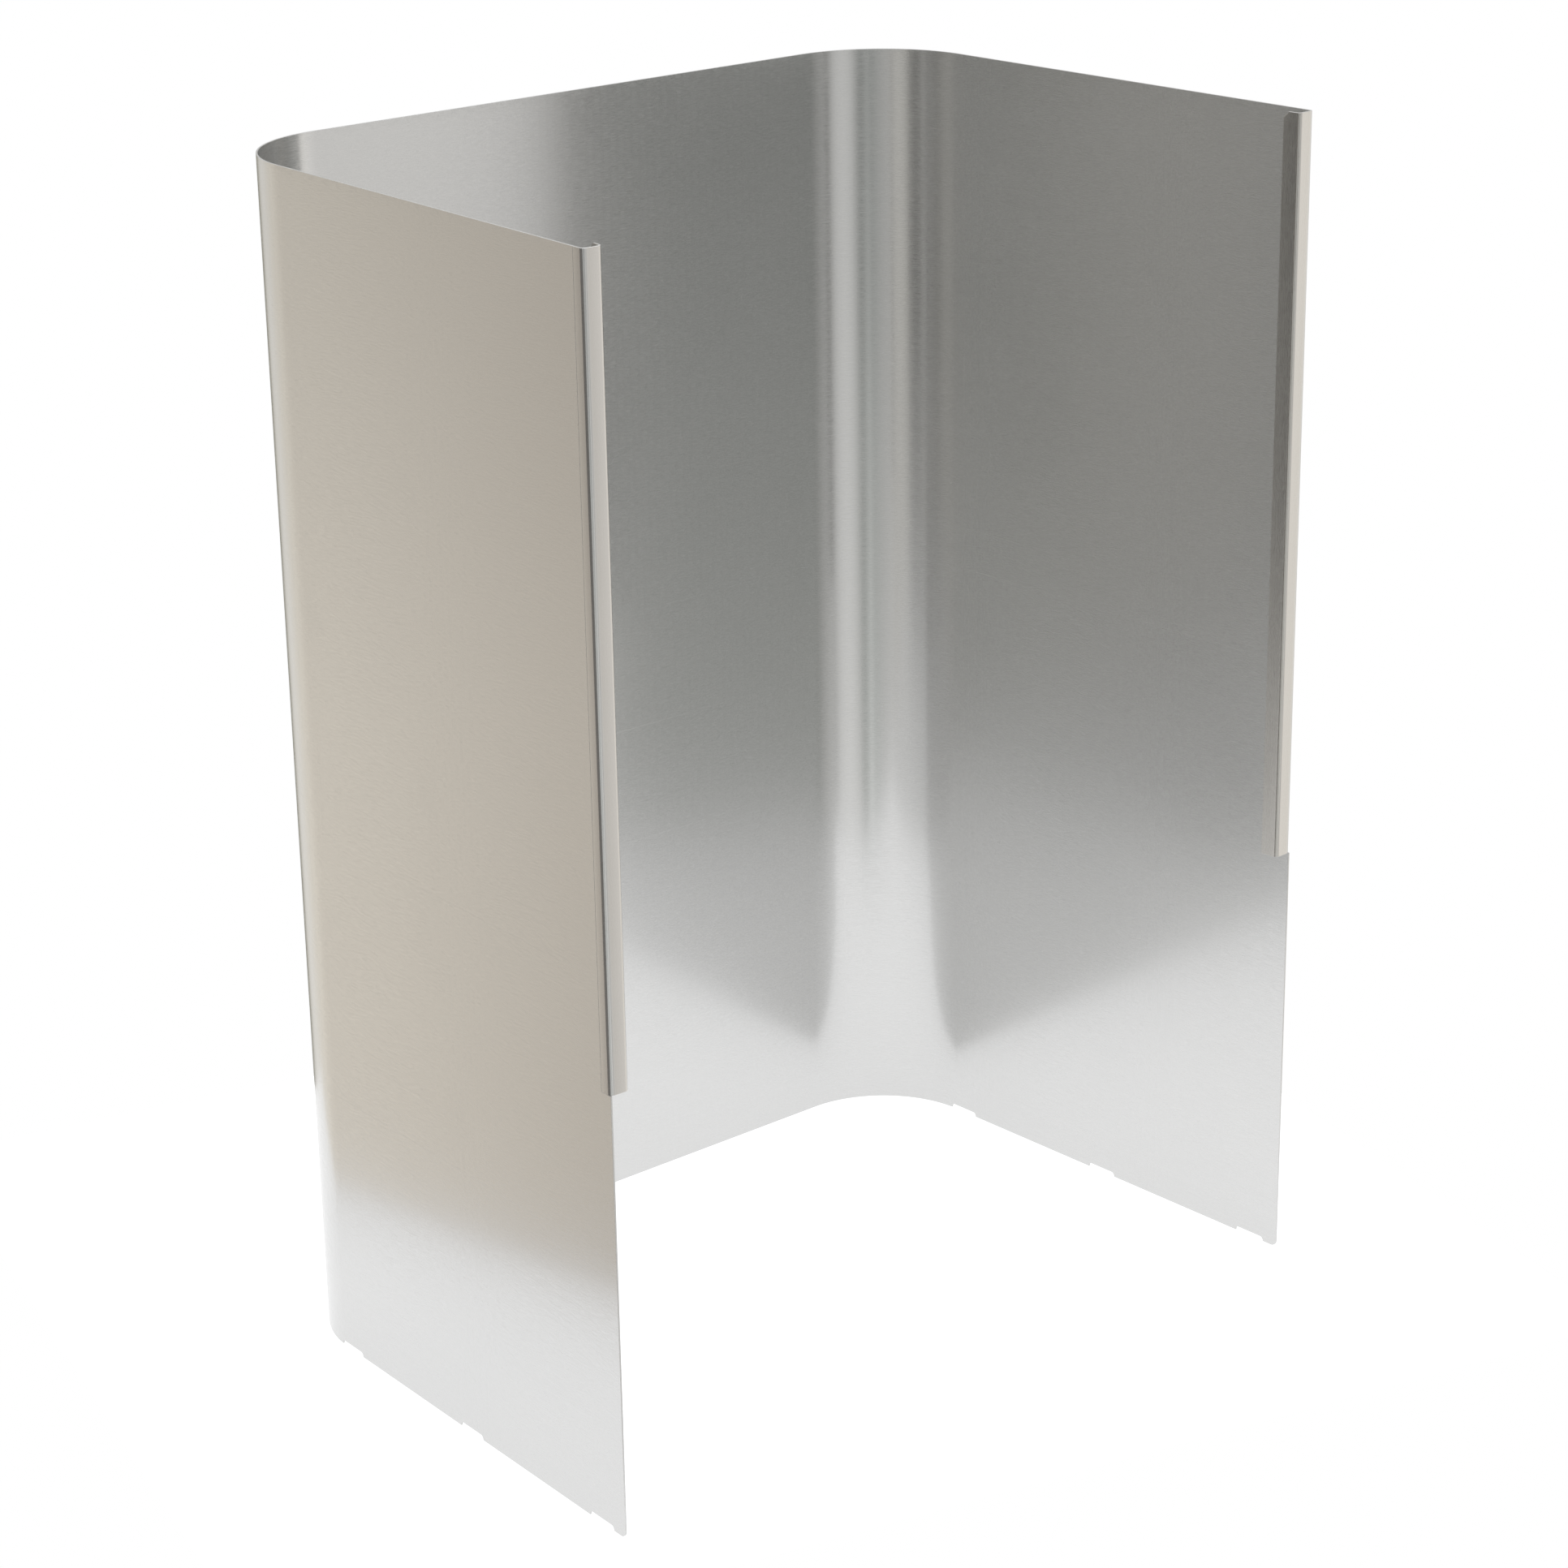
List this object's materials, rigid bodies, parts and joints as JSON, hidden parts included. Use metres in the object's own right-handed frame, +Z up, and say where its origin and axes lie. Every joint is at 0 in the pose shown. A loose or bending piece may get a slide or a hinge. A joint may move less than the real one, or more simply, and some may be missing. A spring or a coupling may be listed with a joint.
{
  "type": "sneeze guard",
  "caption": "Free-standing wrap-around sneeze guard in thin stainless sheet: a U-shaped wall, open at the front, top and bottom, with a folded profile on each front edge.",
  "frame": {"origin": "centre of the bounding rectangle on the surface that the guard stands on, at its lower edge", "axes": "+Z up; the open front faces -Y and the back wall stands at +Y; +X is the right side seen from the open front"},
  "size_m": [0.5094, 0.345, 0.7],
  "materials": {
    "wrap_stainless": "bright rolled stainless sheet with a very fine horizontal grain, half way to a mirror",
    "profile_stainless": "the same rolled stainless sheet, folded, with its grain along the profile"
  },
  "bodies": {
    "root": {"wrap_sheet": "wrap_stainless", "left_edge_profile": "profile_stainless", "right_edge_profile": "profile_stainless"}
  },
  "joints": []
}
